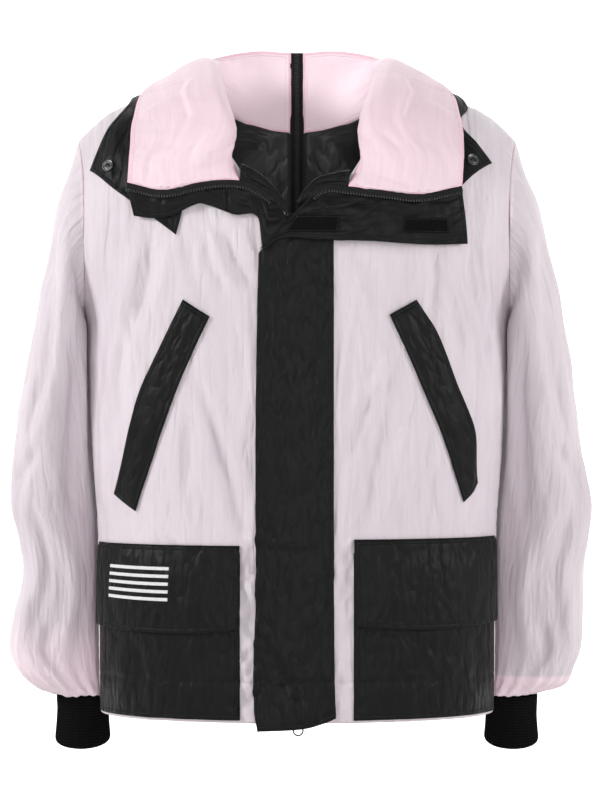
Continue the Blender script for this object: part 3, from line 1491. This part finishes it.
# Slanted welts at the side pockets: x and z of the outer and of the inner edge, from the top down
welt = {
    "left": [
        (133, -238, 103, -255), (157, -276, 122, -296), (178, -328, 144, -346), (200, -386, 166, -400),
        (206.5, -444, 187, -465),
    ],
    "right": [
        (127, -238, 97, -257), (152, -289, 120, -306), (176, -341, 142, -361), (191, -398, 161, -415),
        (205, -456, 181, -475),
    ],
    "out": 1.2,
    "thick": 1.5,
    "rows": 76,
    "columns": 14,
    "cut": {"flat": (0.044, 0.238), "area": 0.0094},
}
weltGrids = {}
for hand in (left, right):
    side = sideName[hand]
    table = np.array(welt[side], float)
    marks = track(np.arange(len(table)), table)(np.linspace(0, len(table) - 1, welt["rows"]))
    t = np.linspace(0, 1, welt["columns"])
    x = lerp(marks[:, :1], marks[:, 2:3], t) * hand
    z = lerp(marks[:, 1:2], marks[:, 3:], t)
    out = welt["out"] + np.sin(np.pi * t) + 0 * z
    piece, grid = chestTrim(
        f"side_welt_{side}", x, z, out, welt["thick"], f"welt_{side}",
        ripple=lambda g: pucker(g, 0.5, 171, 8, 6),
    )
    weltGrids[hand] = grid
print("placket, pockets and welts made")

# Hood: it wraps the neck and hangs down the back. Each station has five marks across, from the
# neck's edge to the edge round the face: x, the way along the cloth from the shoulder's ridge, out.
hood = {
    "thick": 1.5,
    "rows": 240,
    "columns": 70,
    "left": [
        [(121, -223, 2.6), (150, -202, 3.2), (176, -178, 3.6), (198, -150, 3.2), (220.4, -122, 2.6)],
        [(110, -150, 3), (132, -136, 4), (150, -122, 4.6), (168, -108, 4), (187, -86, 3)],
    ],
    "right": [
        [
            (134.7, -233.6, 2.6), (159.7, -210.7, 3.2), (184.7, -185.7, 3.6), (209.8, -156.6, 3.2),
            (234.8, -118.7, 2.6),
        ],
        [(115, -150, 3), (140, -138, 4), (166, -122, 4.6), (192, -106, 4), (219, -82, 3)],
    ],
    "both": [
        [(106, -70, 3.2), (124, -66, 3.8), (146, -60, 3.6), (168, -54, 3), (196, -40, 2.6)],
        [(105, 4, 3.4), (122, 6, 5), (144, 8, 8), (163, 9, 11), (186, 10, 9)],
        [(102, 48, 3.8), (120, 66, 5.6), (146, 88, 7), (172, 80, 18), (176, 54, 18)],
        [(83, 96, 4), (106, 142, 6.5), (148, 204, 9), (152, 142, 44), (126, 84, 42)],
        [(44, 136, 4), (64, 214, 6.5), (94, 326, 12), (94, 208, 66), (74, 122, 60)],
        [(0, 147, 3.4), (0, 236, 5), (0, 388, 14), (0, 250, 80), (0, 150, 70)],
    ],
    "crumple": 1.0,
    "cut": {"flat": (0.52, 1.21), "area": 0.225},
}


# A place over the shoulder: w is the way along the cloth from the ridge, and is negative in front
def overShoulder(x, w, out):
    way = np.abs(w)
    spots = []
    for face in ("front", "back"):
        curve = formRound[face]
        curved = curve * np.pi / 2
        onCurve = curve * (1 - np.cos(np.minimum(way, curved) / curve))
        drop = np.where(way < curved, onCurve, curve + way - curved)
        spots.append(onBody(x, ridge(x) - drop, face, out))
    return np.where((np.asarray(w) < 0)[..., None], spots[0], spots[1])


def hoodGrid():
    half = {h: np.array(hood[sideName[h]] + hood["both"], float) * (h, 1, 1) for h in (left, right)}
    stations = np.concatenate([half[right], half[left][::-1][1:]])
    rows = through(stations, hood["rows"])
    flat = across(through(across(rows), hood["columns"]))
    grid = overShoulder(flat[..., 0], flat[..., 1], flat[..., 2])
    u, v = flatMeasures(grid)
    height = hood["crumple"] * crumple(v, u, 181, 1.2) * ease(edgeDistance(grid) / 16)
    return grid - gridNormals(grid) * height[..., None]


hoodCloth = hoodGrid()
piece = thickened(sheetMesh("hood_cloth", hoodCloth, -1), hood["thick"], inner=1)
dressed(piece, [blackNylon, hoodInside], ["hood"])
print("hood made")

# Zips: tapes down the front, along the opened collar and down the centre back
zips = {
    "half": 5,
    "sink": 0.2,
    "thick": 1,
    "turnedFrom": 0.115,
    "backHalf": 8.2,
    "backTopZ": -36,
    "backRise": [(0, 101, 0), (0, 104, 35), (0, 99, 65)],  # up the collar's outside
    "guard": {"z": (-707, -192), "x": (-30, -6.2), "thick": 1.3},
}
for hand in (left, right):
    side = sideName[hand]
    z = np.linspace(hemZ, form["zipTopZ"], 120)[:, None]
    x = zipAt(z) + np.linspace(0.2, zips["half"], 5) * hand
    out = -zips["sink"] - zips["thick"] + 0 * x
    chestTrim(f"front_tape_{side}", x, z + 0 * x, out, zips["thick"], f"zip_{side}", [zipTape])
    u = np.linspace(zips["turnedFrom"], 1, 90)[:, None]
    x, z, out = turned(hand)(u, np.linspace(-turnedZip["half"], turnedZip["half"], 7), -0.5)
    chestTrim(f"turned_tape_{side}", x, z, out + 0 * x, zips["thick"], f"zip_turn_{side}", [zipTape])

guard = zips["guard"]
z = np.linspace(*guard["z"], 100)[:, None]
x = zipAt(z) + np.linspace(*guard["x"], 9)
chestTrim("zip_guard_cloth", x, z + 0 * x, seamGap + 0 * x, guard["thick"], "zip_guard")

marks = onBody(np.zeros(40), np.linspace(hemZ, zips["backTopZ"], 40), "back", -zips["sink"])
spine = through(np.concatenate([marks, zips["backRise"]]), 220)
reach = np.linspace(-zips["backHalf"], zips["backHalf"], 9)
grid = np.stack([spine + (s, 0, 0) for s in reach], 1)
grid[..., 0] = reach
piece = thickened(sheetMesh("back_zip_tape", grid, -1), zips["thick"])
dressed(piece, [zipTape], ["back_zip"])

# Lining inside the back, seen through the open neck
lining = {
    "folds": 1.6,
    "out": -3.4,
    "thick": 1,
    "drop": 1.5,
    "rise": 3,  # its edge covers the collar's seam in the middle of the neck
    "riseFrom": (50, 25),
    "footZ": -310,
    "columns": 52,
    "cut": {"flat": (0.28, 0.4), "area": 0.077},
}
for hand in (left, right):
    side = sideName[hand]
    x, z = panelPlaces("back", backCentre, lining["columns"] + 2, panel["backRows"])
    keep = z[:, 0] > lining["footZ"]
    x, z = x[keep][:-4, :-2], z[keep][:-4, :-2]
    start, over = lining["riseFrom"]
    offset = lining["rise"] * (1 - ease((x - start) / over)) - lining["drop"]

    def liningRipple(g):
        folds = 1 + crumple(x * hand + 0.6 * z, z, 191 + hand)
        return -lining["folds"] * ease(edgeDistance(g) / 25) * folds

    piece, grid = chestTrim(
        f"neck_lining_{side}", x * hand, z + offset, lining["out"] + 0 * z, lining["thick"],
        f"back_lining_{side}", [liningCloth, liningCloth], "back", liningRipple,
    )
print("zips and lining made")

# Teeth of the zips: one row along each opened side, two rows that meet in the closed zips
teeth = {"pitch": 3.1, "size": (1.75, 3.6, 1.7), "bevel": 0.45, "over": -4.0, "meet": 1.2}


# With no side named, the teeth stand by turns on both sides of the line
def teethAlong(places, side, up, name):
    keys = spacing(places)
    at = np.arange(1, keys[-1] - 1, teeth["pitch"] / (1 if side else 2))

    def read(values, where):
        return np.stack([np.interp(where, keys, values[:, k]) for k in range(3)], -1)

    ways = waysAt(read(places, at + 0.5) - read(places, at - 0.5), unit(read(up, at)))
    centres = read(places, at)
    if side is None:
        hand = np.where(np.arange(len(at)) % 2, 1, -1)[:, None]
        centres = centres + ways[:, 1] * hand * teeth["meet"]
    piece = scattered(name, toothShape, centres, ways)
    dressed(piece, [zipTeeth])


toothShape = blockShape(teeth["size"], teeth["bevel"])
for hand in (left, right):
    u = np.linspace(0.105, 1, 300)
    x, z, out = turned(hand)(u, teeth["over"], 0.4)
    teethAlong(onBody(x, z, "front", out), hand, formNormal(x, z, "front"), f"turned_teeth_{sideName[hand]}")
z = np.linspace(hemZ + 3, form["zipTopZ"], 600)
teethAlong(onBody(zipAt(z), z, "front", -0.1), None, formNormal(zipAt(z), z, "front"), "front_teeth")
outer = unit(np.cross(np.gradient(spine, axis=0), (1, 0, 0)))
outer = outer * np.sign(outer[40, 1])
teethAlong(spine + outer * 0.3, None, outer, "back_teeth")
teethAlong(spine - outer * (zips["thick"] + 0.3), None, outer, "back_teeth_inside")
print("teeth made")

# Snaps on the hood's corners, turned from a profile of radius and height
snap = {
    "profile": [
        (6.9, -0.4), (7.1, 0.5), (6.9, 1.3), (6.3, 1.75), (5.6, 1.5), (5.1, 1.05), (4.5, 1.1), (4.1, 1.45),
        (3.5, 1.5), (3.1, 1.1), (3.0, 0.2),
    ],
    "core": [(5.0, 0.6), (3.05, 0.5), (1.5, 0.25), (1.3, 1.15), (0.9, 1.3), (0.02, 1.3)],
    "around": 40,
    "places": {"left": (197, -133, 3.9), "right": (-212, -132, 3.5)},
}
for side, place in snap["places"].items():
    centre = overShoulder(*place)
    up = unit(overShoulder(place[0], place[1], place[2] + 1) - centre)
    ways = waysAt(np.cross([up], (0, 1, 0)), [up])[0]
    angles = np.radians(np.arange(snap["around"]) * 360 / snap["around"])
    spokes = np.cos(angles)[:, None] * ways[0] + np.sin(angles)[:, None] * ways[1]
    for name, profile, material in (("cap", "profile", darkMetal), ("core", "core", snapCore)):
        grid = np.array([centre + radius * spokes + ways[2] * high for radius, high in snap[profile]])
        piece = sheetMesh(f"snap_{name}_{side}", grid, sideOf(grid, ways[2], wrap=True), wrap=True)
        dressed(piece, [material], [f"snap_{side}"])
print("snaps made")

# Rows of stitches, each some way in from the edges that it follows
def stitched(name, rows, thread):
    centres = np.concatenate([row[0] for row in rows])
    ways = np.concatenate([row[1] for row in rows])
    dressed(scattered(name, stitchShape(), centres, ways), [thread])
    print(name, len(centres))


stitchSides("black", placketGrid, ("first", "last", "foot"), 5)
for hand in (left, right):
    for grids, sides, away in (
        (pocketGrids, ("first", "last", "foot"), 4.5),
        (flapGrids, ("first", "last", "foot", "head"), 4.5),
        (weltGrids, ("first", "last", "foot", "head"), 3),
        (bandGrids, ("last",), 4),
    ):
        stitchSides("black", grids[hand], sides, away, sideOf(grids[hand], towardsFront))
    stitchSides("pink", collarGrids[hand], ("last", "head"), 6, hand)
stitchSides("black", hoodCloth, ("last",), 5, -1)
half = float(formHalf(bodyCloth["hemLine"]))
for face, *ends in (("front", -236, -4), ("front", 8, 236), ("back", -238, -10), ("back", 10, 238)):
    start, end = np.arcsin(np.clip(ends, -half * 0.995, half * 0.995) / half)
    x = half * np.sin(np.linspace(start, end, 400))
    z = bodyCloth["hemLine"] + 0 * x
    strip = np.stack([onBody(x, z + s, face, 0.1) for s in (0, 1)], 1)
    flip = sideOf(strip, formNormal(x, z, face)[:, None])
    stitchRows["pink"].append(stitchRow(strip, "first", 0, flip))
stitched("stitches_black", stitchRows["black"], blackThread)
stitched("stitches_pink", stitchRows["pink"], pinkThread)

# Loop patches on the left storm band, each with a row of stitches round it
patch = {
    "inner": {"x": (-3, 49), "z": (-145, -163)},
    "outer": {"x": (119, 169), "z": (-147, -163)},
    "cut": {
        "inner": {"flat": (0.022, 0.057), "area": 0.001},
        "outer": {"flat": (0.018, 0.054), "area": 0.0009},
    },
    "lift": 1.1,
    "thick": 1.0,
    "stitchAway": 1.4,
    "rows": 40,
    "columns": 14,
}
bandGrid = bandGrids[left]
bandSide = sideOf(bandGrid, towardsFront)
alongBand, downBand = (np.linspace(0, 1, count) for count in bandGrid.shape[:2])
for name in ("inner", "outer"):
    x = np.linspace(*patch[name]["x"], patch["rows"])
    z = np.linspace(*patch[name]["z"], patch["columns"])
    v = np.interp(x, bandGrid[:, len(downBand) // 2, 0], alongBand)
    nearest = np.round(v * (len(bandGrid) - 1)).astype(int)
    u = np.array([np.interp(-z, -bandGrid[k, :, 2], downBand) for k in nearest])
    grid = onGrid(bandGrid, u, v[:, None] + 0 * u, patch["lift"], bandSide)[0]
    flip = sideOf(grid, towardsFront)
    piece = thickened(sheetMesh(f"loop_patch_cloth_{name}", grid, flip), patch["thick"])
    dressed(piece, [loopPile], [f"loop_patch_{name}"])
    rows = [stitchRow(grid, s, patch["stitchAway"], flip) for s in ("first", "last", "foot", "head")]
    stitched(f"patch_stitches_{name}", rows, blackThread)

# Plain bars printed on a pocket flap
bars = {
    "x": (-213, -144),
    "topZ": -536,
    "pitch": 8.4,
    "high": 3.6,
    "count": 5,
    "lift": 0.12,
    "thick": 0.1,
    "row": 18,  # the flap's row and column that places are measured along
    "column": 40,
}
flapGrid = flapGrids[right]
flip = sideOf(flapGrid, towardsFront)
downFlap, alongFlap = (np.linspace(0, 1, count) for count in flapGrid.shape[:2])
for k in range(bars["count"]):
    top = bars["topZ"] - k * bars["pitch"]
    z = np.linspace(top, top - bars["high"], 5)[:, None]
    x = np.linspace(*bars["x"], 60)
    u = np.interp(-x, -flapGrid[bars["row"], :, 0], alongFlap)
    v = np.interp(-z, -flapGrid[:, bars["column"], 2], downFlap)
    grid = onGrid(flapGrid, u, v, bars["lift"], flip)[0]
    piece = thickened(sheetMesh(f"plain_bar_{k}", grid, sideOf(grid, towardsFront)), bars["thick"])
    dressed(piece, [whiteInk])
print("bars made")

# Metal parts and a patch that keep their solids
for node, material in (
    ("neck_patch", liningCloth),
    ("slider_top", darkMetal),
    ("slider_bottom", darkMetal),
    ("slider_lug", darkMetal),
    ("zip_pull", darkMetal),
):
    solid = bpy.data.objects[node]
    if solid.material_slots:
        for socket in solid.material_slots:
            socket.material = material
    else:
        solid.data.materials.append(material)

# Room: a white sweep that runs from the floor up into a wall, and soft lamps
room = {
    "floorZ": -0.9,
    "bendFrom": 1.2,
    "bend": 1.4,
    "bendShares": (0.3, 0.7),  # the bend's part of the sweep's length
    "wide": 14,
    "near": -8,
    "high": 5,
    "paper": (0.86, 0.86, 0.86),
    "glow": 0.8,
    "glowFrom": (0.1, 0.8),  # the glow grows over these metres behind the jacket
    "world": 0.28,
    "lamps": [
        {"at": (-2.5, -1.1, 0.9), "size": 0.8, "power": 54},
        {"at": (2.5, -1.2, 0.5), "size": 0.9, "power": 34},
        {"at": (0.2, -3.6, 0.1), "size": 0.8, "power": 30},
        {"at": (0, 0.9, 1.6), "size": 1.2, "power": 8},
    ],
    "lampsTo": (0, 0, -0.35),
    "neckLamp": {"at": (0, -2.2, -0.5), "to": (0, 0.05, 0.05), "cone": 0.11, "soft": 0.2, "power": 90},
}
sweepMesh = bmesh.new()
bmesh.ops.create_grid(sweepMesh, x_segments=1, y_segments=40, size=0.5)
start, end = room["bendShares"]
for vert in sweepMesh.verts:
    t = vert.co.y + 0.5
    turn = (np.clip(t, start, end) - start) / (end - start) * math.pi / 2
    y = lerp(room["bendFrom"], room["near"], max(0, 1 - t / start)) + room["bend"] * math.sin(turn)
    rise = room["bend"] * (1 - math.cos(turn)) + room["high"] * max(0, (t - end) / (1 - end))
    z = room["floorZ"] + rise
    vert.co = (vert.co.x * room["wide"], y, z)
sweep = finished("sweep", sweepMesh)
paper = Finish("white_paper", room["paper"], 0.9, Emission_Strength=room["glow"])
depth = paper.node("SeparateXYZ", None, {"Vector": paper.node("TexCoord", output="Object")}, "Y")
paper.put("Emission Color", paper.mix(paper.span(depth, *room["glowFrom"]), (0, 0, 0), (1, 1, 1)))
clear = paper.node("BsdfTransparent")
behind = paper.node("NewGeometry", output="Backfacing")
oneSided = paper.node("MixShader", None, {0: behind, 1: Socket(paper, paper.shader.outputs[0]), 2: clear})
paper.connect(paper.tree.nodes["Material Output"].inputs["Surface"], oneSided)
sweep.data.materials.append(paper.material)

world = bpy.data.worlds.new("surround")
world.use_nodes = True
world.node_tree.nodes["Background"].inputs["Color"].default_value = (1, 1, 1, 1)
world.node_tree.nodes["Background"].inputs["Strength"].default_value = room["world"]
bpy.context.scene.world = world


def lampAt(name, kind, lamp, to):
    data = bpy.data.lights.new(name, kind)
    data.energy = lamp["power"]
    light = bpy.data.objects.new(name, data)
    light.location = lamp["at"]
    light.rotation_euler = (Vector(to) - light.location).to_track_quat("-Z", "Y").to_euler()
    bpy.context.scene.collection.objects.link(light)
    return data


for k, lamp in enumerate(room["lamps"]):
    area = lampAt(f"lamp_{k}", "AREA", lamp, room["lampsTo"])
    area.shape = "DISK"
    area.size = lamp["size"]
beam = lampAt("neck_lamp", "SPOT", room["neckLamp"], room["neckLamp"]["to"])
beam.spot_size = room["neckLamp"]["cone"]
beam.spot_blend = 1
beam.shadow_soft_size = room["neckLamp"]["soft"]

view = {"from": (0.0035, -3.2, -0.3506), "lens": 165.5, "sensor": 36}
camera = bpy.data.cameras.new("front_view")
camera.sensor_fit = "HORIZONTAL"
camera.sensor_width = view["sensor"]
camera.lens = view["lens"]
camera.clip_end = 60
eye = bpy.data.objects.new("front_view", camera)
eye.location = view["from"]
eye.rotation_euler = (math.pi / 2, 0, 0)
bpy.context.scene.collection.objects.link(eye)
bpy.context.scene.camera = eye
bpy.context.scene.view_settings.view_transform = "Standard"

print("size written")
